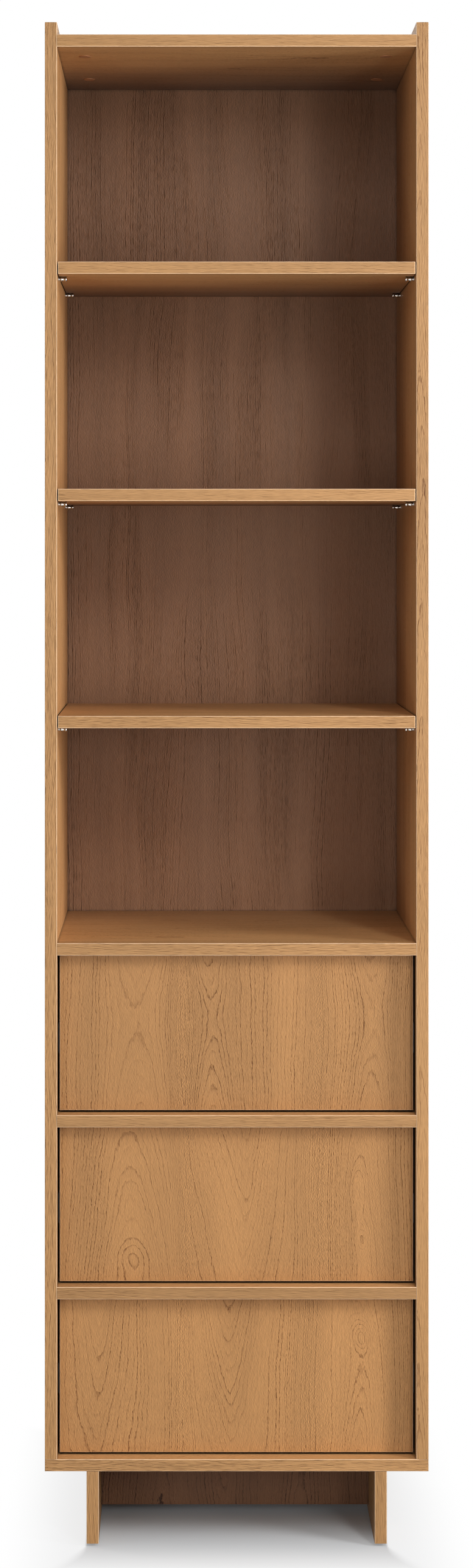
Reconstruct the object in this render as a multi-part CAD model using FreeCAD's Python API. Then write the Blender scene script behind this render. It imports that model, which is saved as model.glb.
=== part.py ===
import FreeCAD, Part
import os

# Tall narrow shelving unit with three drawers, in millimetres.
# +Z is up, the front faces -Y, and the origin is on the floor under the middle of the unit.

# Driving dimensions of the carcass
overall_width = 500.0
overall_depth = 350.0
panel_thickness = 16.0
side_rise = 16.0
compartment_height = 280.0
drawer_opening_height = 208.0
edge_radius = 1.0

# Driving dimensions of the base
leg_height = 94.0
leg_inset = 54.3
brace_setback = 120.0
brace_floor_gap = 14.5
glide_height = 4.0
glide_top_radius = 7.0
glide_bottom_radius = 5.4
glide_end_offset = 18.0
glide_nail_radius = 1.0
glide_nail_length = 12.0

# Back panel, which slides into grooves
back_thickness = 5.0
back_rear_offset = 10.0
groove_depth = 7.0
groove_end_clearance = 0.5
groove_side_clearance = 0.1

# Adjustable shelves and the turned pins under them
shelf_end_gap = 1.2
shelf_back_gap = 18.0
pin_front_offset = 37.0
pin_rear_offset = 86.0
pin_stem_radius = 2.5
pin_stem_depth = 8.0
pin_neck_length = 2.6
pin_spool_radius = 3.25
pin_spool_length = 9.0
pin_spool_rounding = 1.1
pin_waist_length = 5.0
pin_waist_depth = 0.7
pin_hole_depth = 10.0
pin_seat_gap = 0.05

# Drawer rails
rail_depth = 80.0
rail_cam_offset = 24.0
rail_dowel_offset = 56.0

# Drawer fronts and boxes
front_recess = 20.0
front_gap = 2.5
front_thickness = 16.0
box_board = 12.0
box_floor_gap = 15.0
box_headroom = 43.0
box_rear_clearance = 44.5
tray_thickness = 4.0
tray_lift = 8.0
tray_groove_depth = 5.0

# Drawer slides: three nested channels on each side
slide_height = 42.0
slide_sheet = 1.2
slide_width = 12.7
slide_axis_rise = 4.0
slide_corner_radius = 3.0
slide_running_gap = 0.3
slide_race_height = 3.4
slide_race_length = 5.4
slide_drawer_race_height = 4.8
slide_lip = 3.2
slide_lip_overlap = 1.4
slide_screw_space = 1.4
slide_screw_offset = 25.0
push_travel = 3.0
push_clearance = 1.5

# Screws that hold the slides
screw_radius = 1.7
screw_length = 10.5
screw_head_radius = 3.4
screw_head_height = 1.0
screw_hole_clearance = 0.05

# Cam locks of the carcass, and the smaller ones of the drawer boxes
cam_diameter = 15.0
cam_depth = 12.5
cam_setback = 34.0
cam_front_offset = 72.0
cam_rear_offset = 102.0
box_cam_diameter = 12.0
box_cam_depth = 10.0
box_cam_setback = 24.0
box_cam_height = 32.0
cam_fit = 0.1
cam_slot_width = 2.0
cam_slot_length = 8.0
cam_slot_depth = 1.5
bolt_radius = 2.4
bolt_head_radius = 3.0
bolt_head_length = 3.0
bolt_bore_radius = 3.4
thread_radius = 2.5
thread_length = 11.0
box_thread_length = 9.0
thread_fit = 0.05
cover_radius = 8.0
cover_height = 0.9
cover_rounding = 0.5

# Dowels
dowel_radius = 4.0
dowel_end_depth = 19.0
dowel_face_depth = 10.0
dowel_fit = 0.05
dowel_end_clearance = 0.5
dowel_spacing = 32.0
brace_cam_height = 26.0
brace_dowel_height = 58.0

# One overrun lets every cutting tool pass its surface, and one tolerance picks edges
overrun = 1.0
same_place = 0.01

# Names of what repeats, from the top down, and of the two sides
shelf_names = ("upper", "middle", "lower")
drawer_names = ("upper", "middle", "lower")
rail_names = ("upper", "lower")
side_names = ("left", "right")
up = FreeCAD.Vector(0, 0, 1)
down = FreeCAD.Vector(0, 0, -1)
rearward = FreeCAD.Vector(0, 1, 0)
forward = FreeCAD.Vector(0, -1, 0)

# Planes and levels that follow from the sizes
front = -overall_depth / 2
rear = overall_depth / 2
outer_x = overall_width / 2
inner_x = outer_x - panel_thickness
back_front = rear - back_rear_offset - back_thickness
leg_top = glide_height + leg_height
bottom_top = leg_top + panel_thickness
drawer_pitch = drawer_opening_height + panel_thickness
drawer_floors = [bottom_top + (len(drawer_names) - 1 - i) * drawer_pitch for i in range(len(drawer_names))]
fixed_shelf_bottom = bottom_top + len(drawer_names) * drawer_pitch - panel_thickness
fixed_shelf_top = fixed_shelf_bottom + panel_thickness
shelf_pitch = compartment_height + panel_thickness
shelf_bottoms = [
    fixed_shelf_top + (len(shelf_names) - i) * shelf_pitch - panel_thickness for i in range(len(shelf_names))
]
top_panel_bottom = fixed_shelf_top + (len(shelf_names) + 1) * shelf_pitch - panel_thickness
side_top = top_panel_bottom + panel_thickness + side_rise
leg_outer_x = outer_x - leg_inset
leg_inner_x = leg_outer_x - panel_thickness
brace_front = front + brace_setback
front_rear_face = front + front_recess + front_thickness
slide_front = front_rear_face + push_travel + push_clearance
box_rear = back_front - box_rear_clearance
slide_length = box_rear - slide_front
box_outer_x = inner_x - slide_width
box_inner_x = box_outer_x - box_board

# Solids of each node, and the tools that cut each board
solids = {}
tools = {}


def add(node, solid):
    """Put one solid into a node."""
    solids.setdefault(node, []).append(solid)


def cut(node, tool):
    """Keep a tool for the board of that name."""
    tools.setdefault(node, []).append(tool)


def block(low, high):
    """Box from its lowest corner to its highest."""
    size = [high[i] - low[i] for i in range(len(low))]
    return Part.makeBox(*size, FreeCAD.Vector(*low))


def side_signs():
    """Name of each side with the sign of its X."""
    return zip(side_names, (-1, 1))


def side_span(sign, near, far):
    """Lowest and highest X of something that lies between two distances from the middle."""
    return sorted((sign * near, sign * far))


def placed(shape, point, into, face):
    """Turn a shape so that its X runs along into and its Z along face, and move it to a point."""
    rotation = FreeCAD.Rotation(into, face.cross(into), face)
    shape.Placement = FreeCAD.Placement(point, rotation)
    return shape


def edges_where(shape, chosen):
    """Straight edges whose direction and middle pass a test."""
    found = []
    for edge in shape.Edges:
        direction = edge.tangentAt(edge.FirstParameter)
        if chosen(direction, edge.CenterOfMass):
            found.append(edge)
    return found


def rounded_long_front(shape):
    """Round the front edges that run from side to side."""
    lowest = shape.BoundBox.YMin

    def chosen(direction, middle):
        return abs(direction.x) > abs(direction.z) and abs(middle.y - lowest) < same_place

    return shape.makeFillet(edge_radius, edges_where(shape, chosen))


def rounded_upright_front(shape):
    """Round the front edges that run upwards."""
    lowest = shape.BoundBox.YMin

    def chosen(direction, middle):
        return abs(direction.z) > abs(direction.x) and abs(middle.y - lowest) < same_place

    return shape.makeFillet(edge_radius, edges_where(shape, chosen))


def rounded_front_and_top(shape):
    """Round the edges of the front face and of the top face, but not those at the foot."""
    box = shape.BoundBox

    def chosen(direction, middle):
        at_front_or_top = abs(middle.y - box.YMin) < same_place or abs(middle.z - box.ZMax) < same_place
        return at_front_or_top and abs(middle.z - box.ZMin) > same_place

    return shape.makeFillet(edge_radius, edges_where(shape, chosen))


def rounded_front_face(shape):
    """Round all edges of the front face."""
    lowest = shape.BoundBox.YMin

    def chosen(direction, middle):
        return abs(middle.y - lowest) < same_place

    return shape.makeFillet(edge_radius, edges_where(shape, chosen))


def cam_housing(radius, depth, setback, face_height):
    """Cam in the local frame of its joint, with its cross slot and the mouth for the bolt's head."""
    body_radius = radius - cam_fit
    foot = face_height - depth
    body = Part.makeCylinder(body_radius, depth, FreeCAD.Vector(-setback, 0, foot))
    mouth = Part.makeCylinder(bolt_bore_radius, radius, FreeCAD.Vector(-setback, 0, 0), FreeCAD.Vector(1, 0, 0))
    body = body.cut(mouth)
    half_width = cam_slot_width / 2
    half_length = cam_slot_length / 2
    slot_floor = face_height - cam_slot_depth
    slot_top = face_height + overrun
    for half_x, half_y in ((half_width, half_length), (half_length, half_width)):
        slot = block((-setback - half_x, -half_y, slot_floor), (-setback + half_x, half_y, slot_top))
        body = body.cut(slot)
    return body


def cam_bolt(setback, thread):
    """Bolt in the local frame of its joint: a head inside the cam, a shank, and a thread in the mate."""
    along = FreeCAD.Vector(1, 0, 0)
    head_start = -setback + cam_fit
    head = Part.makeCylinder(bolt_head_radius, bolt_head_length, FreeCAD.Vector(head_start, 0, 0), along)
    shank = Part.makeCylinder(bolt_radius, -head_start, FreeCAD.Vector(head_start, 0, 0), along)
    screw = Part.makeCylinder(thread_radius, thread, FreeCAD.Vector(0, 0, 0), along)
    return head.fuse([shank, screw])


def cam_lock(holder, mate, point, into, face, board, cam, housing_node, bolt_node):
    """Join the end of one board to another: a cam in the holder's face draws a bolt screwed into the mate."""
    diameter, depth, setback, thread = cam
    face_height = board / 2
    radius = diameter / 2
    add(housing_node, placed(cam_housing(radius, depth, setback, face_height), point, into, face))
    add(bolt_node, placed(cam_bolt(setback, thread), point, into, face))
    pocket = Part.makeCylinder(radius, depth + overrun, FreeCAD.Vector(-setback, 0, face_height - depth))
    along = FreeCAD.Vector(1, 0, 0)
    bore = Part.makeCylinder(bolt_bore_radius, setback + overrun, FreeCAD.Vector(-setback, 0, 0), along)
    cut(holder, placed(pocket, point, into, face))
    cut(holder, placed(bore, point, into, face))
    thread_start = FreeCAD.Vector(-overrun, 0, 0)
    hole = Part.makeCylinder(thread_radius + thread_fit, thread + overrun + thread_fit, thread_start, along)
    cut(mate, placed(hole, point, into, face))


def dowel(holder, mate, point, into):
    """Wooden dowel across a joint, from the end of the holder into the face of the mate."""
    start = point - into * dowel_end_depth
    add("dowels", Part.makeCylinder(dowel_radius - dowel_fit, dowel_end_depth + dowel_face_depth, start, into))
    end_hole_depth = dowel_end_depth + dowel_end_clearance
    face_hole_depth = dowel_face_depth + dowel_end_clearance
    end_hole_start = point - into * end_hole_depth
    cut(holder, Part.makeCylinder(dowel_radius, end_hole_depth + overrun, end_hole_start, into))
    face_hole_start = point - into * overrun
    cut(mate, Part.makeCylinder(dowel_radius, face_hole_depth + overrun, face_hole_start, into))


def carcass_joint(holder, mate, x, z, into, face):
    """Two cam locks and two dowels, set along the depth of the carcass."""
    cam = (cam_diameter, cam_depth, cam_setback, thread_length)
    front_cam = front + cam_front_offset
    rear_cam = rear - cam_rear_offset
    for y in (front_cam, rear_cam):
        point = FreeCAD.Vector(x, y, z)
        cam_lock(holder, mate, point, into, face, panel_thickness, cam, "cam_housings", "cam_bolts")
    for y in (front_cam - dowel_spacing, rear_cam + dowel_spacing):
        dowel(holder, mate, FreeCAD.Vector(x, y, z), into)


def back_grooves():
    """Grooves for the back panel in the sides, the top and the bottom panel."""
    y_low = back_front - groove_side_clearance
    y_high = back_front + back_thickness + groove_side_clearance
    z_low = bottom_top - groove_depth
    z_high = top_panel_bottom + groove_depth
    groove_x = inner_x + groove_depth
    for name, sign in side_signs():
        x_low, x_high = side_span(sign, inner_x - overrun, groove_x)
        cut("side_panel_" + name, block((x_low, y_low, z_low), (x_high, y_high, z_high)))
    cut("bottom_panel", block((-groove_x, y_low, z_low), (groove_x, y_high, bottom_top + overrun)))
    cut("top_panel", block((-outer_x, y_low, top_panel_bottom - overrun), (outer_x, y_high, z_high)))


def side_panels():
    """Two sides that stand on the bottom panel and rise above the top panel."""
    for name, sign in side_signs():
        node = "side_panel_" + name
        x_low, x_high = side_span(sign, inner_x, outer_x)
        add(node, rounded_front_and_top(block((x_low, front, bottom_top), (x_high, rear, side_top))))
        middle_x = sign * (inner_x + panel_thickness / 2)
        inward = FreeCAD.Vector(-sign, 0, 0)
        carcass_joint(node, "bottom_panel", middle_x, bottom_top, down, inward)


def cross_panels():
    """Top panel, bottom panel and the fixed shelf above the drawers."""
    top_low = (-inner_x, front, top_panel_bottom)
    top_high = (inner_x, rear, top_panel_bottom + panel_thickness)
    add("top_panel", rounded_long_front(block(top_low, top_high)))
    fixed_low = (-inner_x, front, fixed_shelf_bottom)
    fixed_high = (inner_x, back_front, fixed_shelf_top)
    add("fixed_shelf", rounded_long_front(block(fixed_low, fixed_high)))
    add("bottom_panel", rounded_front_face(block((-outer_x, front, leg_top), (outer_x, rear, bottom_top))))
    for node, level in (("top_panel", top_panel_bottom), ("fixed_shelf", fixed_shelf_bottom)):
        for name, sign in side_signs():
            into = FreeCAD.Vector(sign, 0, 0)
            middle_z = level + panel_thickness / 2
            carcass_joint(node, "side_panel_" + name, sign * inner_x, middle_z, into, down)


def cam_covers():
    """Thin round covers over the cams under the top panel, which is seen from below."""
    for name, sign in side_signs():
        for y in (front + cam_front_offset, rear - cam_rear_offset):
            foot = FreeCAD.Vector(sign * (inner_x - cam_setback), y, top_panel_bottom)
            disc = Part.makeCylinder(cover_radius, cover_height, foot, down)
            lowest = disc.BoundBox.ZMin
            rim = [edge for edge in disc.Edges if edge.BoundBox.ZMax < lowest + same_place]
            add("cam_cover_caps", disc.makeFillet(cover_rounding, rim))


def back_panel():
    """Thin back that fills the carcass from groove to groove."""
    reach = groove_depth - groove_end_clearance
    low = (-inner_x - reach, back_front, bottom_top - reach)
    high = (inner_x + reach, back_front + back_thickness, top_panel_bottom + reach)
    add("back_panel", block(low, high))


def drawer_rails():
    """Rails across the front between the drawers, each held by a cam lock and a dowel at each end."""
    cam = (cam_diameter, cam_depth, cam_setback, thread_length)
    for i, rail_name in enumerate(rail_names):
        node = "drawer_rail_" + rail_name
        level = drawer_floors[i] - panel_thickness
        add(node, rounded_long_front(block(
            (-inner_x, front, level), (inner_x, front + rail_depth, level + panel_thickness))))
        middle_z = level + panel_thickness / 2
        for name, sign in side_signs():
            mate = "side_panel_" + name
            into = FreeCAD.Vector(sign, 0, 0)
            cam_point = FreeCAD.Vector(sign * inner_x, front + rail_cam_offset, middle_z)
            cam_lock(node, mate, cam_point, into, down, panel_thickness, cam, "cam_housings", "cam_bolts")
            dowel(node, mate, FreeCAD.Vector(sign * inner_x, front + rail_dowel_offset, middle_z), into)


def shelf_pin(sign, y, shelf_bottom):
    """Turned pin: a stem in the side panel, a short neck, and a spool with a waist under the shelf."""
    inward = FreeCAD.Vector(-sign, 0, 0)
    axis_z = shelf_bottom - pin_seat_gap - pin_spool_radius
    wall = FreeCAD.Vector(sign * inner_x, y, axis_z)
    stem_start = wall - inward * pin_stem_depth
    stem = Part.makeCylinder(pin_stem_radius, pin_stem_depth + pin_neck_length, stem_start, inward)
    spool_start = wall + inward * pin_neck_length
    spool = Part.makeCylinder(pin_spool_radius, pin_spool_length, spool_start, inward)
    rims = [edge for edge in spool.Edges if abs(edge.BoundBox.XLength) < same_place]
    spool = spool.makeFillet(pin_spool_rounding, rims)
    half_waist = pin_waist_length / 2
    hollow_radius = (half_waist ** 2 + pin_waist_depth ** 2) / (2 * pin_waist_depth)
    ring_radius = pin_spool_radius - pin_waist_depth + hollow_radius
    spool_middle = spool_start + inward * (pin_spool_length / 2)
    waist = Part.makeTorus(ring_radius, hollow_radius, spool_middle, inward)
    return spool.cut(waist).fuse(stem)


def adjustable_shelves():
    """Loose shelves, each on four pins in the side panels."""
    shelf_x = inner_x - shelf_end_gap
    shelf_rear = back_front - shelf_back_gap
    for shelf_name, level in zip(shelf_names, shelf_bottoms):
        low = (-shelf_x, front, level)
        high = (shelf_x, shelf_rear, level + panel_thickness)
        add("shelf_" + shelf_name, rounded_front_face(block(low, high)))
        for name, sign in side_signs():
            for y in (front + pin_front_offset, rear - pin_rear_offset):
                add("shelf_pins", shelf_pin(sign, y, level))
                axis_z = level - pin_seat_gap - pin_spool_radius
                start = FreeCAD.Vector(sign * (inner_x - overrun), y, axis_z)
                outward = FreeCAD.Vector(sign, 0, 0)
                hole = Part.makeCylinder(pin_stem_radius + thread_fit, pin_hole_depth + overrun, start, outward)
                cut("side_panel_" + name, hole)


def legs():
    """Two panel legs from front to rear under the bottom panel, with their cams on the outside."""
    for name, sign in side_signs():
        node = "leg_" + name
        x_low, x_high = side_span(sign, leg_inner_x, leg_outer_x)
        add(node, rounded_upright_front(block((x_low, front, glide_height), (x_high, rear, leg_top))))
        middle_x = sign * (leg_inner_x + panel_thickness / 2)
        outward = FreeCAD.Vector(sign, 0, 0)
        carcass_joint(node, "bottom_panel", middle_x, leg_top, up, outward)
        for y in (front + glide_end_offset, rear - glide_end_offset):
            add("leg_glides", glide(middle_x, y))
            start = FreeCAD.Vector(middle_x, y, 0)
            nail_depth = glide_height + glide_nail_length + thread_fit
            cut(node, Part.makeCylinder(glide_nail_radius + thread_fit, nail_depth, start, up))


def glide(x, y):
    """Tapered plastic glide with the nail that holds it in the end of the leg."""
    foot = FreeCAD.Vector(x, y, 0)
    pad = Part.makeCone(glide_bottom_radius, glide_top_radius, glide_height, foot, up)
    nail_foot = FreeCAD.Vector(x, y, glide_height / 2)
    nail = Part.makeCylinder(glide_nail_radius, glide_height / 2 + glide_nail_length, nail_foot, up)
    return pad.fuse(nail)


def leg_brace():
    """Brace between the legs, with its cams on the rear face."""
    low = (-leg_inner_x, brace_front, brace_floor_gap)
    high = (leg_inner_x, brace_front + panel_thickness, leg_top)
    add("leg_brace", block(low, high))
    cam = (cam_diameter, cam_depth, cam_setback, thread_length)
    middle_y = brace_front + panel_thickness / 2
    for name, sign in side_signs():
        mate = "leg_" + name
        into = FreeCAD.Vector(sign, 0, 0)
        cam_point = FreeCAD.Vector(sign * leg_inner_x, middle_y, brace_floor_gap + brace_cam_height)
        cam_lock("leg_brace", mate, cam_point, into, rearward, panel_thickness, cam, "cam_housings", "cam_bolts")
        dowel("leg_brace", mate, FreeCAD.Vector(cam_point.x, middle_y, brace_floor_gap + brace_dowel_height), into)


def screw(head_seat, into):
    """Flat-headed screw whose head sits on a surface at head_seat."""
    head = Part.makeCylinder(screw_head_radius, screw_head_height, head_seat, into * -1)
    shank = Part.makeCylinder(screw_radius, screw_length + slide_sheet, head_seat, into)
    return head.fuse(shank)


def screw_hole(surface, into, depth):
    """Round hole for a screw, opened from a surface."""
    start = surface - into * overrun
    return Part.makeCylinder(screw_radius + screw_hole_clearance, depth + overrun, start, into)


def channel(half_profile, sign, axis_z):
    """Channel along the depth from half of its section, as distances from the side panel and from its axis."""
    mirrored = [(u, -v) for u, v in reversed(half_profile)]
    corners = [FreeCAD.Vector(sign * (inner_x - u), slide_front, axis_z + v) for u, v in half_profile + mirrored]
    corners.append(corners[0])
    outline = Part.Face(Part.makePolygon(corners))
    return outline.extrude(FreeCAD.Vector(0, slide_length, 0))


def rounded_channel(shape, radius, u, v, sign, axis_z):
    """Round the two long edges of a channel that lie at a distance u from the side panel and v from the axis."""
    def chosen(direction, middle):
        at_u = abs(middle.x - sign * (inner_x - u)) < same_place
        at_v = abs(abs(middle.z - axis_z) - v) < same_place
        return abs(direction.y) > abs(direction.x) + abs(direction.z) and at_u and at_v

    return shape.makeFillet(radius, edges_where(shape, chosen))


def cabinet_channel(sign, axis_z):
    """Outer channel, fixed to the side panel, with a lip that keeps the middle channel in."""
    half_height = slide_height / 2
    lip_start = middle_race_end() + slide_running_gap
    lip_end = lip_start + slide_sheet
    half = [(0, half_height), (lip_end, half_height), (lip_end, half_height - slide_lip)]
    half += [(lip_start, half_height - slide_lip), (lip_start, half_height - slide_sheet)]
    half += [(slide_sheet, half_height - slide_sheet)]
    shape = channel(half, sign, axis_z)
    shape = rounded_channel(shape, slide_corner_radius, 0, half_height, sign, axis_z)
    inner_radius = slide_corner_radius - slide_sheet
    return rounded_channel(shape, inner_radius, slide_sheet, half_height - slide_sheet, sign, axis_z)


def middle_race_end():
    """Distance from the side panel to the end of the middle channel's races."""
    return slide_sheet + slide_screw_space + slide_race_length


def middle_race_top():
    """Distance from the axis to the outside of the middle channel's races."""
    return slide_height / 2 - slide_sheet - slide_running_gap


def middle_channel(sign, axis_z):
    """Middle channel: races that run in the outer channel, and lips that keep the drawer's channel in."""
    web = slide_sheet + slide_screw_space
    race_end = middle_race_end()
    race_top = middle_race_top()
    race_foot = race_top - slide_race_height
    lip_top = slide_height / 2 - slide_lip - slide_running_gap
    lip_foot = drawer_race_top() - slide_lip_overlap
    half = [(web, race_top), (race_end, race_top), (race_end, lip_top), (race_end + slide_sheet, lip_top)]
    half += [(race_end + slide_sheet, lip_foot), (race_end, lip_foot), (race_end, race_foot)]
    half += [(web + slide_sheet, race_foot)]
    return channel(half, sign, axis_z)


def drawer_race_top():
    """Distance from the axis to the outside of the drawer channel's races."""
    return middle_race_top() - slide_race_height - slide_running_gap


def drawer_channel(sign, axis_z):
    """Inner channel, fixed to the drawer's side, with races that run in the middle channel."""
    race_start = slide_sheet + slide_screw_space + slide_sheet + slide_running_gap
    race_end = middle_race_end() - slide_running_gap
    race_top = drawer_race_top()
    race_foot = race_top - slide_drawer_race_height
    flange_top = race_foot + slide_sheet
    half = [(race_start, race_foot), (race_start, race_top), (race_end, race_top), (race_end, flange_top)]
    half += [(slide_width, flange_top)]
    web_start = slide_width - slide_sheet
    inner = [(web_start, -race_foot), (web_start, race_foot)]
    mirrored = [(u, -v) for u, v in reversed(half)]
    places = half + mirrored + inner
    corners = [FreeCAD.Vector(sign * (inner_x - u), slide_front, axis_z + v) for u, v in places]
    corners.append(corners[0])
    outline = Part.Face(Part.makePolygon(corners))
    return outline.extrude(FreeCAD.Vector(0, slide_length, 0))


def drawer_slides(drawer_name, drawer_floor):
    """Three channels on each side of a drawer, with the screws that hold the outer and the inner one."""
    box_middle = drawer_floor + (box_floor_gap + drawer_opening_height - box_headroom) / 2
    axis_z = box_middle + slide_axis_rise
    for name, sign in side_signs():
        outward = FreeCAD.Vector(sign, 0, 0)
        inward = FreeCAD.Vector(-sign, 0, 0)
        ending = name + "_" + drawer_name
        add("slide_cabinet_" + ending, cabinet_channel(sign, axis_z))
        add("slide_middle_" + ending, middle_channel(sign, axis_z))
        add("slide_drawer_" + ending, drawer_channel(sign, axis_z))
        for y in (slide_front + slide_screw_offset, slide_front + slide_length - slide_screw_offset):
            wall = FreeCAD.Vector(sign * inner_x, y, axis_z)
            add("slide_screws_cabinet", screw(wall + inward * slide_sheet, outward))
            cut("slide_cabinet_" + ending, screw_hole(wall + inward * slide_sheet, outward, slide_sheet + overrun))
            cut("side_panel_" + name, screw_hole(wall, outward, screw_length + screw_hole_clearance))
            box_wall = FreeCAD.Vector(sign * box_outer_x, y, axis_z)
            add("slide_screws_" + drawer_name, screw(box_wall + outward * slide_sheet, inward))
            cut("slide_drawer_" + ending, screw_hole(box_wall + outward * slide_sheet, inward, slide_sheet + overrun))
            cut("drawer_side_" + ending, screw_hole(box_wall, inward, screw_length + screw_hole_clearance))


def drawer_box(drawer_name, drawer_floor):
    """Drawer front, two sides, back and thin bottom tray, drawn together by small cam locks."""
    floor_z = drawer_floor + box_floor_gap
    top_z = drawer_floor + drawer_opening_height - box_headroom
    front_node = "drawer_front_" + drawer_name
    back_node = "drawer_back_" + drawer_name
    front_x = inner_x - front_gap
    low = (-front_x, front + front_recess, drawer_floor + front_gap)
    high = (front_x, front_rear_face, drawer_floor + drawer_opening_height - front_gap)
    add(front_node, rounded_front_face(block(low, high)))
    back_low = (-box_inner_x, box_rear - box_board, floor_z)
    add(back_node, block(back_low, (box_inner_x, box_rear, top_z)))
    locks = "drawer_cam_locks_" + drawer_name
    front_cam = (box_cam_diameter, box_cam_depth, box_cam_setback, thread_length)
    back_cam = (box_cam_diameter, box_cam_depth, box_cam_setback, box_thread_length)
    for name, sign in side_signs():
        side_node = "drawer_side_" + name + "_" + drawer_name
        x_low, x_high = side_span(sign, box_inner_x, box_outer_x)
        add(side_node, block((x_low, front_rear_face, floor_z), (x_high, box_rear, top_z)))
        outward = FreeCAD.Vector(sign, 0, 0)
        inward = FreeCAD.Vector(-sign, 0, 0)
        middle_x = sign * (box_inner_x + box_board / 2)
        for z in (floor_z + box_cam_height, top_z - box_cam_height):
            front_point = FreeCAD.Vector(middle_x, front_rear_face, z)
            cam_lock(side_node, front_node, front_point, forward, inward, box_board, front_cam, locks, locks)
            back_point = FreeCAD.Vector(sign * box_inner_x, box_rear - box_board / 2, z)
            cam_lock(back_node, side_node, back_point, outward, rearward, box_board, back_cam, locks, locks)
    drawer_tray(drawer_name, floor_z)


def drawer_tray(drawer_name, floor_z):
    """Thin bottom tray in grooves of the front, the sides and the back."""
    reach = tray_groove_depth - groove_end_clearance
    tray_foot = floor_z + tray_lift
    back_inside = box_rear - box_board
    low = (-box_inner_x - reach, front_rear_face - reach, tray_foot)
    high = (box_inner_x + reach, back_inside + reach, tray_foot + tray_thickness)
    add("drawer_bottom_" + drawer_name, block(low, high))
    groove_low = (-box_inner_x - tray_groove_depth, front_rear_face - tray_groove_depth)
    groove_high = (box_inner_x + tray_groove_depth, back_inside + tray_groove_depth)
    foot = tray_foot - groove_side_clearance
    top = tray_foot + tray_thickness + groove_side_clearance
    groove = block((*groove_low, foot), (*groove_high, top))
    side_nodes = ["drawer_side_" + name + "_" + drawer_name for name in side_names]
    for node in ["drawer_front_" + drawer_name, "drawer_back_" + drawer_name] + side_nodes:
        cut(node, groove)


def write_parts():
    """Cut each board with its tools and write one file for each node."""
    os.makedirs("parts", exist_ok=True)
    for node, pieces in solids.items():
        if node in tools:
            pieces = [piece.cut(tools[node]) for piece in pieces]
        pieces = [solid for piece in pieces for solid in piece.removeSplitter().Solids]
        shape = pieces[0] if len(pieces) == 1 else Part.makeCompound(pieces)
        shape.exportStep("parts/" + node + ".step")
        print(node, "solids", len(pieces), "valid", shape.isValid())


side_panels()
cross_panels()
back_grooves()
cam_covers()
back_panel()
drawer_rails()
adjustable_shelves()
legs()
leg_brace()
for drawer_name, drawer_floor in zip(drawer_names, drawer_floors):
    drawer_box(drawer_name, drawer_floor)
    drawer_slides(drawer_name, drawer_floor)
write_parts()
print("nodes", len(solids), "height", side_top, "slide length", slide_length)
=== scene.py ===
import bmesh
import bpy
import math
from dataclasses import dataclass
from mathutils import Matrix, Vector


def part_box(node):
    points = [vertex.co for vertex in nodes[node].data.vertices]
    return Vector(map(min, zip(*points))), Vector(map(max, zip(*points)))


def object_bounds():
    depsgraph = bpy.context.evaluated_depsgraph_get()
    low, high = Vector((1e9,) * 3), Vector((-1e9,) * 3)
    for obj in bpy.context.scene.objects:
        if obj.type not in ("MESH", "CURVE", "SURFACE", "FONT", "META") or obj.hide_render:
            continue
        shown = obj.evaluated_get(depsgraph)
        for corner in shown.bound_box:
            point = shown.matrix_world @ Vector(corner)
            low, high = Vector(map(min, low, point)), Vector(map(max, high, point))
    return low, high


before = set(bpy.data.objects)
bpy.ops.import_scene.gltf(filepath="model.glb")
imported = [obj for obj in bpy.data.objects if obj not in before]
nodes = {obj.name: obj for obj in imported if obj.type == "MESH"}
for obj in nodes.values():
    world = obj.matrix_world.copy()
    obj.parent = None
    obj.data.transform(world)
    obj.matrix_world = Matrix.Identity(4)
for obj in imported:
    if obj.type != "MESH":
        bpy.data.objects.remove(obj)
cad_low, cad_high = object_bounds()

# Frame of the photograph in its own pixels, the pixel that the camera's axis meets, and the lens
PHOTO_WIDTH_PX = 777
PHOTO_HEIGHT_PX = 2576
AXIS_X_PX = 298
AXIS_Y_PX = 919
FOCAL_PX = 4566
SENSOR_MM = 36.0
CAMERA_PLACE = (-0.072, -3.795, 1.286)

# Each lamp: its place, the point that it faces, its width and height in metres, and its power in watts
LAMPS = {
    "right_panel": ((2.18, -1.19, 1.10), (0.0, -0.10, 0.90), 0.60, 0.70, 14.0),
    "right_high_panel": ((2.18, -1.19, 1.80), (0.0, -0.10, 1.25), 0.60, 0.70, 20.5),
    "right_front_panel": ((1.38, -2.14, 1.10), (0.0, -0.10, 0.90), 0.60, 0.70, 5.3),
    "front_top_panel": ((0.82, -2.43, 2.60), (0.0, -0.10, 1.65), 0.60, 0.80, 8.0),
    "centre_top_panel": ((0.0, -2.57, 2.60), (0.0, -0.10, 1.65), 0.60, 0.80, 6.9),
    "centre_panel": ((0.0, -2.57, 1.10), (0.0, -0.10, 0.90), 0.60, 0.70, 4.6),
    "key_top_panel": ((0.86, -1.93, 2.70), (0.05, 0.00, 1.85), 0.22, 0.50, 2.7),
    "key_upper_panel": ((0.89, -1.92, 2.10), (0.05, 0.00, 1.55), 0.22, 0.50, 5.4),
    "key_middle_panel": ((0.89, -1.92, 1.50), (0.05, 0.00, 1.25), 0.22, 0.60, 3.2),
    "key_low_panel": ((0.77, -1.97, 0.80), (0.05, 0.00, 0.90), 0.22, 0.60, 3.7),
    "left_panel": ((-2.28, -0.92, 1.80), (0.0, -0.10, 1.25), 0.60, 0.70, 4.3),
    "left_low_panel": ((-1.38, -2.14, 0.40), (0.0, -0.10, 0.55), 0.60, 0.50, 5.8),
    "left_side_panel": ((-2.50, 0.90, 1.30), (-0.25, 0.00, 1.10), 0.80, 1.20, 15.0),
    "rear_panel": ((-0.90, 2.60, 1.70), (0.0, 0.17, 1.00), 1.20, 1.20, 30.0),
}
AMBIENT = 0.14
WHITE = (1.0, 1.0, 1.0, 1.0)


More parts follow.
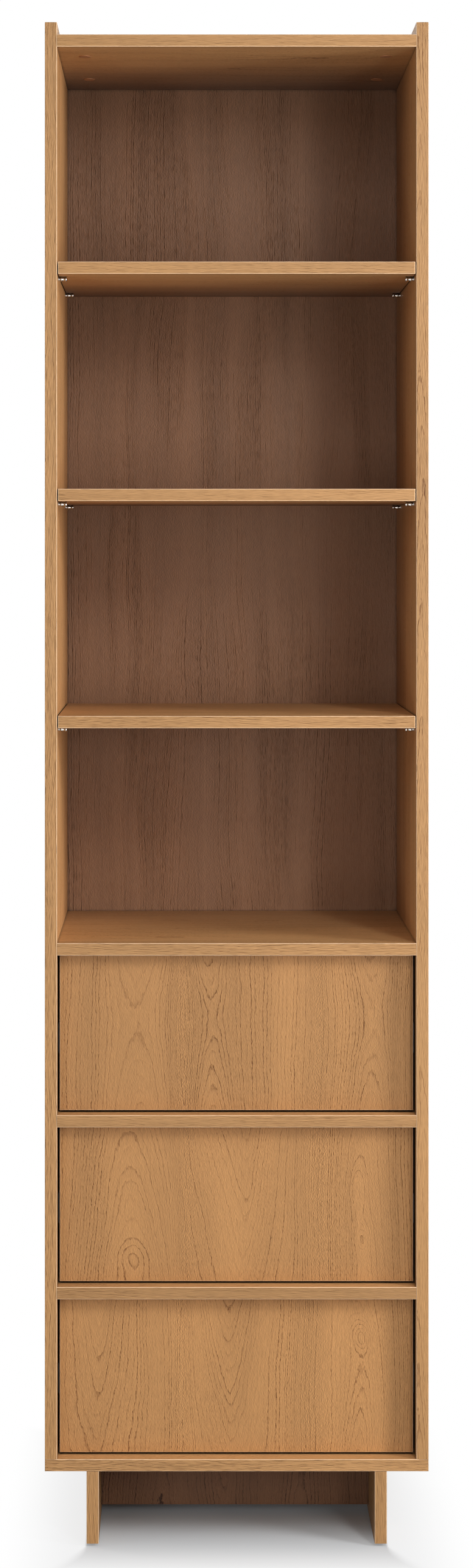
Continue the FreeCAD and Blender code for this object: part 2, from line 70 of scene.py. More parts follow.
def srgb(red, green, blue):
    """Linear colour, with alpha, from the 0 to 255 values of a picture, by the sRGB standard's own curve."""
    channels = []
    for value in (red, green, blue):
        share = value / 255
        channels.append(share / 12.92 if share <= 0.04045 else ((share + 0.055) / 1.055) ** 2.4)
    return (*channels, 1.0)


# Node graphs

class Graph:
    """A node tree that is built from small expressions. Each value is a socket or a plain number."""

    def __init__(self, tree):
        self.tree = tree
        self.tree.nodes.clear()

    def new(self, kind):
        return self.tree.nodes.new(kind)

    def put(self, socket, value):
        """Link a socket to another, or set it to a plain value."""
        if isinstance(value, bpy.types.NodeSocket):
            self.tree.links.new(value, socket)
        else:
            socket.default_value = value

    def math(self, operation, *values):
        node = self.new("ShaderNodeMath")
        node.operation = operation
        for socket, value in zip(node.inputs, values):
            self.put(socket, value)
        return node.outputs[0]

    def add(self, first, *others):
        for other in others:
            first = self.math("ADD", first, other)
        return first

    def sub(self, first, second):
        return self.math("SUBTRACT", first, second)

    def mul(self, first, *others):
        for other in others:
            first = self.math("MULTIPLY", first, other)
        return first

    def weighted(self, start, *parts):
        """A value plus others, each given with the factor that it is multiplied by."""
        for value, factor in parts:
            start = self.add(start, self.mul(value, factor))
        return start

    def absolute(self, value):
        return self.math("ABSOLUTE", value)

    def greater(self, first, second):
        """The greater of two values."""
        return self.math("MAXIMUM", first, second)

    def above(self, value, limit):
        """1 where the value is above the limit, and 0 elsewhere."""
        return self.math("GREATER_THAN", value, limit)

    def below(self, value, limit):
        """1 where the value is below the limit, and 0 elsewhere."""
        return self.math("LESS_THAN", value, limit)

    def rounded(self, value, radius):
        """The distance of a value from 0, with its sharp turn there rounded off."""
        return self.math("SQRT", self.add(self.mul(value, value), radius ** 2))

    def bell(self, value, middle, half_width):
        """1 at the middle, falling to nothing on both sides."""
        offset = self.mul(self.sub(value, middle), 1 / half_width)
        return self.math("EXPONENT", self.mul(offset, offset, -1.0))

    def smooth(self, value, low, high, to_low=0.0, to_high=1.0):
        """Smooth step of a value from one level to another."""
        node = self.new("ShaderNodeMapRange")
        node.interpolation_type = "SMOOTHSTEP"
        self.put(node.inputs["Value"], value)
        node.inputs["From Min"].default_value = low
        node.inputs["From Max"].default_value = high
        node.inputs["To Min"].default_value = to_low
        node.inputs["To Max"].default_value = to_high
        return node.outputs["Result"]

    def split(self, vector):
        node = self.new("ShaderNodeSeparateXYZ")
        self.put(node.inputs[0], vector)
        return node.outputs[0], node.outputs[1], node.outputs[2]

    def noise(self, across, along, size, detail, seed):
        """Noise from 0 to 1 whose spots have one size across the grain and another along it."""
        across_size, along_size = size
        vector = self.new("ShaderNodeCombineXYZ")
        self.put(vector.inputs[0], self.mul(across, 1 / across_size))
        self.put(vector.inputs[1], self.mul(along, 1 / along_size))
        vector.inputs[2].default_value = seed
        node = self.new("ShaderNodeTexNoise")
        node.noise_dimensions = "3D"
        self.put(node.inputs["Vector"], vector.outputs[0])
        node.inputs["Scale"].default_value = 1.0
        node.inputs["Detail"].default_value = detail
        return node.outputs[0]

    def noise_line(self, value, size, detail, seed):
        """Noise from 0 to 1 along a single value."""
        node = self.new("ShaderNodeTexNoise")
        node.noise_dimensions = "1D"
        self.put(node.inputs["W"], self.add(self.mul(value, 1 / size), seed))
        node.inputs["Scale"].default_value = 1.0
        node.inputs["Detail"].default_value = detail
        return node.outputs[0]

    def white_noise(self, value):
        """A level from 0 to 1 of its own for each whole number."""
        node = self.new("ShaderNodeTexWhiteNoise")
        node.noise_dimensions = "1D"
        self.put(node.inputs["W"], value)
        return node.outputs["Value"]

    def mix(self, factor, first, second):
        """Colour between two colours."""
        node = self.new("ShaderNodeMix")
        node.data_type = "RGBA"
        self.put(node.inputs["Factor"], factor)
        self.put(node.inputs["A"], first)
        self.put(node.inputs["B"], second)
        return node.outputs["Result"]

    def shade(self, colour, factor):
        """Colour made lighter or darker by a factor about 1."""
        node = self.new("ShaderNodeVectorMath")
        node.operation = "SCALE"
        self.put(node.inputs[0], colour)
        self.put(node.inputs["Scale"], factor)
        return node.outputs[0]

    def seen(self):
        """1 for what the camera, a reflection or glass looks at, and 0 for the light on the object."""
        path = self.new("ShaderNodeLightPath")
        seen = self.greater(path.outputs["Is Camera Ray"], path.outputs["Is Glossy Ray"])
        return self.greater(seen, path.outputs["Is Transmission Ray"])


class Paint(Graph):
    """The node tree of one material, with the place and the normal of a point in the frame's own axes."""

    def __init__(self, name):
        self.material = bpy.data.materials.new(name)
        self.material.use_nodes = True
        super().__init__(self.material.node_tree)
        place = self.new("ShaderNodeTexCoord")
        self.x, self.y, self.z = self.split(place.outputs["Object"])
        self.normal_x, self.normal_y, self.normal_z = self.split(place.outputs["Normal"])

    def finish(self, colour, roughness, height, bump_depth, metallic=0.0, specular=0.5):
        """Principled shader with a bump, whose uniform values sit on its own sockets."""
        shader = self.new("ShaderNodeBsdfPrincipled")
        self.put(shader.inputs["Base Color"], colour)
        self.put(shader.inputs["Roughness"], roughness)
        shader.inputs["Metallic"].default_value = metallic
        shader.inputs["Specular IOR Level"].default_value = specular
        bump = self.new("ShaderNodeBump")
        bump.inputs["Distance"].default_value = bump_depth
        self.put(bump.inputs["Height"], height)
        self.put(shader.inputs["Normal"], bump.outputs[0])
        output = self.new("ShaderNodeOutputMaterial")
        self.put(output.inputs["Surface"], shader.outputs[0])
        return self.material


def paint(node, material):
    """Give a CAD node one material."""
    for slot in nodes[node].material_slots:
        slot.material = material


# Camera and lights

def add_camera():
    """Camera that looks straight along +Y, with the shift that puts its axis where the photograph has it."""
    data = bpy.data.cameras.new("camera")
    data.sensor_width = SENSOR_MM
    data.lens = FOCAL_PX * SENSOR_MM / PHOTO_HEIGHT_PX
    data.shift_x = (PHOTO_WIDTH_PX / 2 - AXIS_X_PX) / PHOTO_HEIGHT_PX
    data.shift_y = -(PHOTO_HEIGHT_PX / 2 - AXIS_Y_PX) / PHOTO_HEIGHT_PX
    camera = bpy.data.objects.new("camera", data)
    camera.location = CAMERA_PLACE
    camera.rotation_euler = (math.radians(90), 0, 0)
    bpy.context.scene.collection.objects.link(camera)
    bpy.context.scene.camera = camera


def add_lamps():
    """Soft panels round the object, at a level at which a colour renders about as it is written."""
    for name, (place, target, width, height, power) in LAMPS.items():
        data = bpy.data.lights.new(name, "AREA")
        data.shape = "RECTANGLE"
        data.size = width
        data.size_y = height
        data.energy = power
        lamp = bpy.data.objects.new(name, data)
        lamp.location = place
        direction = Vector(target) - Vector(place)
        lamp.rotation_euler = direction.to_track_quat("-Z", "Y").to_euler()
        lamp.visible_camera = False
        bpy.context.scene.collection.objects.link(lamp)


def add_world():
    """White where the camera, a reflection or glass looks past the floor, and a weak light elsewhere."""
    world = bpy.data.worlds.new("studio")
    bpy.context.scene.world = world
    world.use_nodes = True
    graph = Graph(world.node_tree)
    background = graph.new("ShaderNodeBackground")
    background.inputs["Color"].default_value = WHITE
    graph.put(background.inputs["Strength"], graph.weighted(AMBIENT, (graph.seen(), 1.0 - AMBIENT)))
    output = graph.new("ShaderNodeOutputWorld")
    graph.put(output.inputs["Surface"], background.outputs[0])


# Oak decor: rings that follow a figure, pores and fibres, with painted highlights and painted shade

OAK_LIGHT = srgb(205, 155, 102)
OAK_DARK = srgb(124, 72, 34)
FRONT_LIGHT = srgb(209, 154, 98)
# Back panel and brace: darker copies of the oak, as painted shade inside the unit and under it
BACK_LIGHT = srgb(144, 106, 78)
BACK_DARK = srgb(80, 53, 35)
BRACE_LIGHT = srgb(119, 83, 58)
BRACE_DARK = srgb(50, 30, 21)
# Painted highlight of the arrises and of the inner faces above the top panel
HIGHLIGHT_COLOUR = srgb(246, 208, 168)
# Painted shade colour that the inner faces take on towards the back panel
DEPTH_SHADE_COLOUR = srgb(88, 76, 75)

# Noise layers of the decor: the size of the spots across and along the grain in metres, the detail of the
# noise, and a seed of the layer's own, which is added to the board's
OAK_LAYERS = {
    "sway": ((0.110, 0.260), 1.0, 0.0),
    "ripple": ((0.016, 0.032), 2.0, 7.0),
    "shiver": ((0.0034, 0.0080), 1.0, 9.0),
    "breaks": ((0.0040, 0.0180), 1.0, 17.0),
    "clusters": ((0.045, 0.400), 1.0, 19.0),
    "pores": ((0.0011, 0.0048), 1.0, 3.0),
    "long_pores": ((0.0011, 0.0120), 1.0, 3.0),
    "fibres": ((0.0009, 0.0048), 1.0, 5.0),
    "ropes": ((0.0012, 0.0030), 1.0, 23.0),
    "mottle": ((0.0030, 0.0140), 1.0, 15.0),
    "patches": ((0.060, 0.300), 2.0, 13.0),
}

# Rings and emboss, in metres
RING_SPACING = 0.0030
RING_WANDER = 0.0040
WANDER_SIZE = 0.020
WANDER_DETAIL = 1.0
SWAY_DEPTH = 0.030
RIPPLE_DEPTH = 0.0034
SHIVER_DEPTH = 0.0012
TONE_SIZE = 0.045
TONE_DETAIL = 2.0
TONE_SEED = 11.0
FLANK_OFFSET = 0.0006
EMBOSS_DEPTH = 0.00050

# Smooth steps: where a level starts to count and where it counts fully, then the results there if they
# aren't 0 and 1. Lines and the painted highlights of the rims are placed in the space from one ring to the
# next, which runs from 0 to 1.
RING_STRENGTH_STEP = (0.20, 0.95, 0.25, 1.0)
LINE_RISE_STEP = (0.0, 0.08)
LINE_FALL_STEP = (0.36, 0.10)
RIM_STEP = (0.80, 0.95)
BREAK_STEP = (0.36, 0.60, 0.55, 1.0)
CLUSTER_STEP = (0.40, 0.60)
PORE_STEP = (0.46, 0.62)
CREVICE_STEP = (0.10, 0.70, 0.03, 1.0)
ARRIS_STEP = (0.998, 0.96)

# How much each layer counts in the pores, the tone, the emboss and the gloss of the decor. The flank and
# rim tones are painted light and shade of the emboss.
PORES_IN_LINES = 0.9
PORES_IN_CLUSTERS = 0.20
PORES_ELSEWHERE = 0.05
FLANK_LIGHT_TONE = 0.40
FIBRE_TONE = 0.10
MOTTLE_TONE = 0.24
RING_TONE = 0.30
PATCH_TONE = 0.25
RIM_HIGHLIGHT_TONE = 0.06
PORE_HEIGHT = -1.0
LINE_HEIGHT = -0.5
FIBRE_HEIGHT = 0.8
MOTTLE_HEIGHT = 0.6
OAK_ROUGHNESS = 0.48
PORE_ROUGHNESS = 0.2
OAK_SPECULAR = 0.28

# Edges of the carcass boards: denser rings, longer fibres and stronger contrast than on the faces
EDGE_DENSITY = 2.2
EDGE_STRETCH = 0.30
EDGE_CONTRAST = 1.15

# Faces of the boards: how far a normal leans towards an axis before its face counts as facing it
FACING_END = 0.8
FACING_FRONT = 0.5
INWARD_REACH = 0.1

# Painted light and shade inside the unit, in metres and as shares: painted shade makes inner faces grow
# dimmer towards the back panel, most of all the undersides, then the right side's, and least the left
# side's. Lower inner faces have painted shade throughout, the left inner faces a painted lift of light,
# and the inner faces above the top panel a painted highlight.
INSIDE_CLEARANCE = 0.0005
TOP_CLEARANCE = 0.001
DEPTH_START = 0.045
DEPTH_END_GAP = 0.010
DEPTH_SHADE_SHARE = 0.80
DEPTH_ELSEWHERE_SHARE = 0.36
DEPTH_SIDE_SHARE = 0.26
LEFT_INSIDE_LIGHT_LIFT = 0.10
LOW_INSIDE_SHADE_SHARE = 0.48
ABOVE_TOP_HIGHLIGHT_SHARE = 0.80

# Arrises get a painted highlight, palest where they border the inside of the unit, and crevices get
# painted shade to a few millimetres
ARRIS_FADE_START = 0.0025
ARRIS_FADE_END = 0.0045
INNER_ARRIS_SHARE = 0.90
OUTER_ARRIS_SHARE = 0.30
CREVICE_REACH = 0.007
CREVICE_SAMPLES = 4

# Radius, as a share of the board's height, over which a climbing column turns round
SADDLE_SHARE = 0.14


@dataclass
class Figure:
    """Growth rings of one board, as the shape of a height field.

    Turns across the board: a share of its width from its middle, the change of slope there, and the share
    of the width over which it turns. A falling change makes an arch, a rising one a V.
    Climbs are columns where the figure climbs along the grain: a share of the width from the middle, the
    share of the width over which the column fades, the climb, and a share of the height where it turns
    round, or None.
    Eyes and knots: shares of the width and the height from the middle, half sizes and depth in metres.
    Ropes are bands of stronger painted light and shade on the emboss flanks, and streaks are bands of
    another tone; the dark band near the right end of each drawer front is a painted shadow of the right
    side panel. Both: a share of the width from the middle, the half width in metres, and the lift.
    """
    start_slope: float
    turn_shares: tuple
    climb_shares: tuple
    eye_shares: tuple = ()
    rope_shares: tuple = ()
    streak_and_shadow_shares: tuple = ()


UPPER_FIGURE = Figure(
    start_slope=0.6,
    turn_shares=(
        (-0.276, -1.3, 0.070), (-0.190, -1.1, 0.012), (-0.152, 3.5, 0.007), (-0.120, -0.9, 0.012),
        (-0.078, -1.4, 0.055), (0.195, -1.1, 0.018), (0.227, 3.3, 0.009), (0.270, -0.8, 0.016),
        (0.374, -1.4, 0.055), (0.450, -0.5, 0.020),
    ),
    climb_shares=((-0.276, 0.090, 0.15, 0.08), (-0.078, 0.070, 0.15, 0.10), (0.374, 0.075, 0.14, 0.10)),
    rope_shares=((-0.152, 0.012, 3.6), (0.237, 0.010, 3.6), (0.400, 0.020, 1.6)),
    # Band at 0.470: painted shadow of the right side panel
    streak_and_shadow_shares=((0.470, 0.030, -0.16),),
)
MIDDLE_FIGURE = Figure(
    start_slope=0.8,
    turn_shares=(
        (-0.307, -1.45, 0.055), (-0.185, -1.0, 0.012), (-0.135, 1.2, 0.012), (0.024, 1.1, 0.010),
        (0.180, 0.8, 0.020), (0.345, -2.3, 0.030),
    ),
    climb_shares=((-0.280, 0.210, -0.12, None), (0.024, 0.150, -0.10, None), (0.350, 0.070, -0.08, None)),
    eye_shares=(
        (-0.302, -0.34, 0.024, 0.019, 0.006), (0.345, 0.10, 0.010, 0.030, 0.012),
        (0.350, -0.22, 0.012, 0.018, 0.009),
    ),
    rope_shares=((-0.137, 0.011, 3.6), (0.235, 0.020, 3.4), (0.400, 0.030, 1.6)),
    # Band at 0.470: painted shadow of the right side panel
    streak_and_shadow_shares=((0.470, 0.030, -0.12), (0.037, 0.030, -0.02)),
)
LOWER_FIGURE = Figure(
    start_slope=-0.55,
    turn_shares=(
        (-0.389, 1.2, 0.020), (-0.200, 0.6, 0.015), (-0.155, -3.1, 0.006), (-0.125, 1.2, 0.012),
        (-0.024, 1.2, 0.012), (0.140, 0.6, 0.020), (0.250, -0.4, 0.020), (0.352, -1.9, 0.035),
    ),
    climb_shares=((-0.380, 0.090, -0.12, None), (-0.024, 0.090, -0.14, None), (0.350, 0.060, -0.10, None)),
    eye_shares=((-0.178, -0.23, 0.004, 0.004, 0.006), (0.352, 0.25, 0.010, 0.020, 0.012)),
    rope_shares=((-0.155, 0.010, 3.6), (0.220, 0.022, 2.8)),
    # Band at 0.470: painted shadow of the right side panel
    streak_and_shadow_shares=((0.470, 0.030, -0.10), (0.037, 0.030, -0.07)),
)
BACK_FIGURE = Figure(
    start_slope=0.8,
    turn_shares=(
        (-0.430, 0.5, 0.030), (-0.260, 0.3, 0.050), (-0.192, -0.9, 0.030), (-0.029, 0.6, 0.060),
        (0.120, 0.4, 0.040), (0.242, -0.9, 0.030), (0.345, 0.6, 0.030),
    ),
    climb_shares=((-0.192, 0.110, -0.035, None), (0.060, 0.130, 0.030, None), (0.300, 0.100, -0.030, None)),
    eye_shares=(
        (-0.192, -0.165, 0.009, 0.022, -0.016), (-0.192, -0.220, 0.008, 0.020, -0.016),
        (-0.192, -0.280, 0.008, 0.020, -0.016), (0.044, -0.190, 0.004, 0.006, 0.008),
        (-0.192, 0.150, 0.010, 0.026, 0.014), (0.242, 0.165, 0.008, 0.018, -0.012),
    ),
    rope_shares=((-0.15, 0.200, 2.4),),
    streak_and_shadow_shares=((-0.080, 0.0018, 0.10),),
)
PANEL_FIGURE = Figure(
    start_slope=0.8,
    turn_shares=((-0.30, -1.5, 0.05), (-0.05, 1.6, 0.04), (0.22, -1.7, 0.05)),
    climb_shares=((0.0, 4.0, -0.04, None),),
)


@dataclass
class Decor:
    """Print of one board, with its painted light and shade.

    The level multiplies its colour as painted shade, and the fade is painted light that lifts it downwards,
    by a share per metre. The clusters say how much of the lines comes and goes. Carcass boards also have the
    painted shade levels of their front edge and of their underside, as shares of the faces'. A board that
    only shows its front has its figure placed on that face.
    """
    light: tuple = OAK_LIGHT
    dark: tuple = OAK_DARK
    level: float = 1.0
    painted_light_fade: float = 0.0
    line_darkness: float = 0.42
    pore_darkness: float = 0.46
    pore_layer: str = "pores"
    cluster_share: float = 0.30
    edge_shade_share: float | None = None
    underside_shade_share: float = 0.96
    shows_front_only: bool = False


FRONT_FIGURES = {"upper": UPPER_FIGURE, "middle": MIDDLE_FIGURE, "lower": LOWER_FIGURE}
# Painted shade level of each drawer front
FRONT_SHADE_LEVELS = {"upper": 0.76, "middle": 0.82, "lower": 0.90}
BACK_DECOR = Decor(
    light=BACK_LIGHT, dark=BACK_DARK, painted_light_fade=0.24, line_darkness=0.62, pore_darkness=0.50,
    pore_layer="long_pores", cluster_share=0.75, shows_front_only=True)
BRACE_DECOR = Decor(
    light=BRACE_LIGHT, dark=BRACE_DARK, line_darkness=0.80, pore_darkness=0.60, cluster_share=0.60)
# Painted shade levels of the front edges and undersides, and painted light fades downwards, board by board
UPRIGHT_DECORS = {
    "side_panel_left": Decor(edge_shade_share=0.88, painted_light_fade=0.14),
    "side_panel_right": Decor(edge_shade_share=0.805, painted_light_fade=0.12),
    "leg_left": Decor(edge_shade_share=0.88, painted_light_fade=0.10),
    "leg_right": Decor(edge_shade_share=0.89, painted_light_fade=0.10),
}
CROSS_DECORS = {
    "top_panel": Decor(edge_shade_share=0.81, underside_shade_share=0.90, line_darkness=0.55),
    "bottom_panel": Decor(edge_shade_share=0.99),
    "fixed_shelf": Decor(edge_shade_share=0.85),
    "shelf_upper": Decor(edge_shade_share=0.82),
    "shelf_middle": Decor(edge_shade_share=0.84),
    "shelf_lower": Decor(edge_shade_share=0.85),
    "drawer_rail_upper": Decor(edge_shade_share=0.755),
    "drawer_rail_lower": Decor(edge_shade_share=0.79),
}

# Seeds of the noises, counted on from the first board of a group to its last
FRONT_SEED = 21.0
BACK_SEED = 41.0
UPRIGHT_SEED = 51.0
BRACE_SEED = 58.0
CROSS_SEED = 71.0


class Board:
    """One board: the plane of its grain, and where each point of its faces lies in that plane."""

    def __init__(self, graph, node, upright, decor, seed):
        low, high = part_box(node)
        span = high - low
        middle = (low + high) / 2
        if upright:
            self.width = max(span.x, span.y)
            self.height = span.z
            self.middle_across = middle.x + (low.y if decor.shows_front_only else middle.y)
            self.middle_along = middle.z
            short_axis, long_axis, end_normal = graph.x, graph.z, graph.normal_z
        else:
            self.width = max(span.y, span.z)
            self.height = span.x
            self.middle_across = middle.y + middle.z
            self.middle_along = middle.x
            short_axis, long_axis, end_normal = graph.z, graph.x, graph.normal_x
        on_end = graph.above(graph.absolute(end_normal), FACING_END)
        on_face = graph.sub(1.0, on_end)
        self.across = graph.add(short_axis, graph.mul(graph.y, on_face))
        self.along = graph.add(graph.mul(long_axis, on_face), graph.mul(graph.y, on_end))
        self.graph = graph
        self.seed = seed
        self.in_carcass = decor.edge_shade_share is not None

    def layer(self, name, across, along):
        """One noise layer of the decor, from 0 to 1."""
        size, detail, own_seed = OAK_LAYERS[name]
        return self.graph.noise(across, along, size, detail, self.seed + own_seed)

    def centred_layer(self, name, across, along):
        """One noise layer of the decor, from -0.5 to 0.5."""
        return self.graph.add(self.layer(name, across, along), -0.5)

    def centred_line(self, value, size, detail, seed):
        """Noise along a single value, from -0.5 to 0.5."""
        return self.graph.add(self.graph.noise_line(value, size, detail, seed), -0.5)

    def on_edges(self, value, factor):
        """A value, multiplied by a factor on the edges of a carcass board and left as it is elsewhere."""
        if not self.in_carcass:
            return value
        graph = self.graph
        on_edge = graph.above(graph.absolute(graph.normal_y), FACING_FRONT)
        return graph.mul(value, graph.weighted(1.0, (on_edge, factor - 1.0)))

    def bands(self, across, band_shares):
        """Sum of soft bands along the grain, each with its own lift."""
        graph = self.graph
        total = 0.0
        for place_share, half_width, lift in band_shares:
            place = self.middle_across + place_share * self.width
            total = graph.weighted(total, (graph.bell(across, place, half_width), lift))
        return total


def ring_field(board, across, figure):
    """Height field whose level lines are the growth rings: arches, Vs, eyes and knots."""
    graph, width, height = board.graph, board.width, board.height
    offset = graph.sub(across, board.middle_across)
    climb = graph.sub(board.along, board.middle_along)
    slope_changes = sum(change for _, change, _ in figure.turn_shares)
    field = graph.mul(offset, figure.start_slope + slope_changes / 2)
    for place_share, change, radius_share in figure.turn_shares:
        bend = graph.rounded(graph.sub(offset, place_share * width), radius_share * width)
        field = graph.weighted(field, (bend, change / 2))
    for place_share, fade_share, rise, saddle_share in figure.climb_shares:
        column = graph.bell(offset, place_share * width, fade_share * width)
        column_climb = climb
        if saddle_share is not None:
            column_climb = graph.rounded(graph.sub(climb, saddle_share * height), SADDLE_SHARE * height)
        field = graph.weighted(field, (graph.mul(column_climb, column), rise))
    for place_share, level_share, half_width, half_height, depth in figure.eye_shares:
        spot = graph.mul(graph.bell(offset, place_share * width, half_width),
                         graph.bell(climb, level_share * height, half_height))
        field = graph.weighted(field, (spot, depth))
    return field


def growth_rings(board, field):
    """Dark lines of the rings and the painted highlight of the rim before each. Each ring has a strength of
    its own.
    """
    graph = board.graph
    wander = graph.mul(board.centred_line(field, WANDER_SIZE, WANDER_DETAIL, board.seed), RING_WANDER)
    rings = graph.mul(graph.add(field, wander), 1 / RING_SPACING)
    place = graph.math("FRACT", rings)
    level = graph.white_noise(graph.add(graph.math("FLOOR", rings), board.seed))
    strength = graph.smooth(level, *RING_STRENGTH_STEP)
    line = graph.mul(graph.smooth(place, *LINE_FALL_STEP), graph.smooth(place, *LINE_RISE_STEP), strength)
    rim_highlight = graph.mul(graph.smooth(place, *RIM_STEP), strength)
    return line, rim_highlight


def emboss(board, name, across, along):
    """Ridges of one layer, and the painted light and shade on their flanks."""
    ridges = board.layer(name, across, along)
    beside = board.layer(name, board.graph.add(across, FLANK_OFFSET), along)
    return ridges, board.graph.sub(ridges, beside)


def crevice_shade(graph):
    """Painted shade, dark at the bottom of a gap a few millimetres wide, and 1 in the open."""
    occlusion = graph.new("ShaderNodeAmbientOcclusion")
    occlusion.samples = CREVICE_SAMPLES
    occlusion.inputs["Distance"].default_value = CREVICE_REACH
    return graph.smooth(occlusion.outputs["AO"], *CREVICE_STEP)


def arris_highlight_mask(graph):
    """Painted highlight on a board's rounded edges: high on those facing the inside of the unit, low on
    outer ones.
    """
    inner_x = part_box("side_panel_right")[0].x
    parts = [graph.absolute(part) for part in (graph.normal_x, graph.normal_y, graph.normal_z)]
    longest = graph.greater(graph.greater(parts[0], parts[1]), parts[2])
    rounded = graph.smooth(longest, *ARRIS_STEP)
    inside = graph.smooth(graph.absolute(graph.x), inner_x + ARRIS_FADE_END, inner_x + ARRIS_FADE_START,
                          OUTER_ARRIS_SHARE, INNER_ARRIS_SHARE)
    return graph.mul(rounded, inside)


def faces_inward(graph):
    """1 on the faces that look at the middle of the unit from either side."""
    return graph.below(graph.mul(graph.x, graph.normal_x), -INWARD_REACH)


def faces_down(graph):
    """1 on undersides."""
    return graph.below(graph.normal_z, -FACING_END)


def carcass_shade_level(graph, decor):
    """Painted shade and light of a carcass board on its front edge, its underside and its inner faces."""
    on_front = graph.below(graph.normal_y, -FACING_FRONT)
    inward = faces_inward(graph)
    left_inside = graph.mul(inward, graph.greater(graph.normal_x, 0.0))
    low_inside = graph.mul(inward, graph.below(graph.z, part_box("fixed_shelf")[0].z))
    # Painted shade on front edges, undersides and lower inner faces, and painted light on the left inner
    # faces
    level = graph.weighted(1.0, (on_front, decor.edge_shade_share - 1.0),
                           (faces_down(graph), decor.underside_shade_share - 1.0), (left_inside, LEFT_INSIDE_LIGHT_LIFT))
    return graph.mul(level, graph.weighted(1.0, (low_inside, LOW_INSIDE_SHADE_SHARE - 1.0)))


def depth_shade_share(graph, top):
    """Share of painted shade on the compartments' inner faces, from the front to the back panel."""
    inner_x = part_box("side_panel_right")[0].x
    inside = graph.mul(graph.below(graph.absolute(graph.x), inner_x + INSIDE_CLEARANCE),
                       graph.below(graph.z, top - TOP_CLEARANCE))
    beside_edges = graph.sub(1.0, graph.above(graph.absolute(graph.normal_y), FACING_FRONT))
    depth = graph.smooth(graph.y, cad_low.y + DEPTH_START, cad_high.y - DEPTH_END_GAP)
    face_share = graph.weighted(DEPTH_ELSEWHERE_SHARE, (graph.normal_x, -DEPTH_SIDE_SHARE),
                                (faces_down(graph), 1.0 - DEPTH_ELSEWHERE_SHARE))
    return graph.mul(depth, inside, beside_edges, face_share, DEPTH_SHADE_SHARE)


def carcass_colour(graph, colour, decor):
    """Carcass board colour: painted light and shade on its faces and inside, a painted highlight above the
    top.
    """
    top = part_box("top_panel")[1].z
    colour = graph.shade(colour, carcass_shade_level(graph, decor))
    colour = graph.mix(depth_shade_share(graph, top), colour, DEPTH_SHADE_COLOUR)
    above_top = graph.mul(faces_inward(graph), graph.above(graph.z, top), ABOVE_TOP_HIGHLIGHT_SHARE)
    return graph.mix(above_top, colour, HIGHLIGHT_COLOUR)


def oak(name, node, upright, figure, decor, seed):
    """Oak decor with an embossed pore structure."""
    graph = Paint(name)
    board = Board(graph, node, upright, decor, seed)
    across, along = board.across, board.along
    fine_along = board.on_edges(along, EDGE_STRETCH)
    swayed = graph.weighted(across, (board.centred_layer("sway", across, along), SWAY_DEPTH))
    field = graph.weighted(ring_field(board, board.on_edges(swayed, EDGE_DENSITY), figure),
                           (board.centred_layer("ripple", across, along), RIPPLE_DEPTH),
                           (board.centred_layer("shiver", across, along), SHIVER_DEPTH))
    line, rim_highlight = growth_rings(board, field)
    breaks = graph.smooth(board.layer("breaks", across, fine_along), *BREAK_STEP)
    cluster = graph.smooth(board.layer("clusters", swayed, along), *CLUSTER_STEP)
    line = graph.mul(line, breaks, graph.weighted(1.0 - decor.cluster_share, (cluster, decor.cluster_share)))
    pores = graph.smooth(board.layer(decor.pore_layer, across, fine_along), *PORE_STEP)
    pores = graph.mul(pores, graph.weighted(
        PORES_ELSEWHERE, (line, PORES_IN_LINES), (cluster, PORES_IN_CLUSTERS)))
    fibres, flanks = emboss(board, "fibres", across, fine_along)
    if figure.rope_shares:
        _, rope_flanks = emboss(board, "ropes", swayed, along)
        flanks = graph.weighted(flanks, (rope_flanks, board.bands(swayed, figure.rope_shares)))
    mottle = board.centred_layer("mottle", across, along)

    darkness = graph.add(graph.mul(line, decor.line_darkness), graph.mul(pores, decor.pore_darkness))
    darkness = board.on_edges(graph.math("MINIMUM", darkness, 1.0), EDGE_CONTRAST)
    # Tone of the print, with painted light and shade on the emboss flanks and rims, a painted light fade
    # downwards, and bands of tone and painted shadow
    tone = graph.weighted(
        1.0, (flanks, FLANK_LIGHT_TONE), (graph.add(fibres, -0.5), FIBRE_TONE), (mottle, MOTTLE_TONE),
        (board.centred_line(field, TONE_SIZE, TONE_DETAIL, seed + TONE_SEED), RING_TONE),
        (board.centred_layer("patches", across, along), PATCH_TONE), (rim_highlight, RIM_HIGHLIGHT_TONE),
        (graph.sub(board.middle_along, along), decor.painted_light_fade))
    tone = graph.add(tone, board.bands(across, figure.streak_and_shadow_shares))
    # The decor's level darkens the colour as painted shade
    colour = graph.shade(graph.mix(darkness, decor.light, decor.dark), graph.mul(tone, decor.level))
    if board.in_carcass:
        colour = carcass_colour(graph, colour, decor)
    # Painted shade in crevices, then painted highlights on the arrises
    colour = graph.mix(arris_highlight_mask(graph), graph.shade(colour, crevice_shade(graph)), HIGHLIGHT_COLOUR)

    height = graph.weighted(0.0, (pores, PORE_HEIGHT), (line, LINE_HEIGHT), (fibres, FIBRE_HEIGHT),
                            (mottle, MOTTLE_HEIGHT))
    roughness = graph.weighted(OAK_ROUGHNESS, (pores, PORE_ROUGHNESS))
    return graph.finish(colour, roughness, height, EMBOSS_DEPTH, specular=OAK_SPECULAR)


def paint_drawer_fronts():
    """Three fronts, each with its own figure."""
    for i, (name, figure) in enumerate(FRONT_FIGURES.items()):
        node = "drawer_front_" + name
        decor = Decor(light=FRONT_LIGHT, level=FRONT_SHADE_LEVELS[name], shows_front_only=True)
        paint(node, oak("oak_front_" + name, node, True, figure, decor, FRONT_SEED + i))


def paint_back():
    """Back panel with one figure that runs behind all compartments."""
    paint("back_panel", oak("oak_back", "back_panel", True, BACK_FIGURE, BACK_DECOR, BACK_SEED))


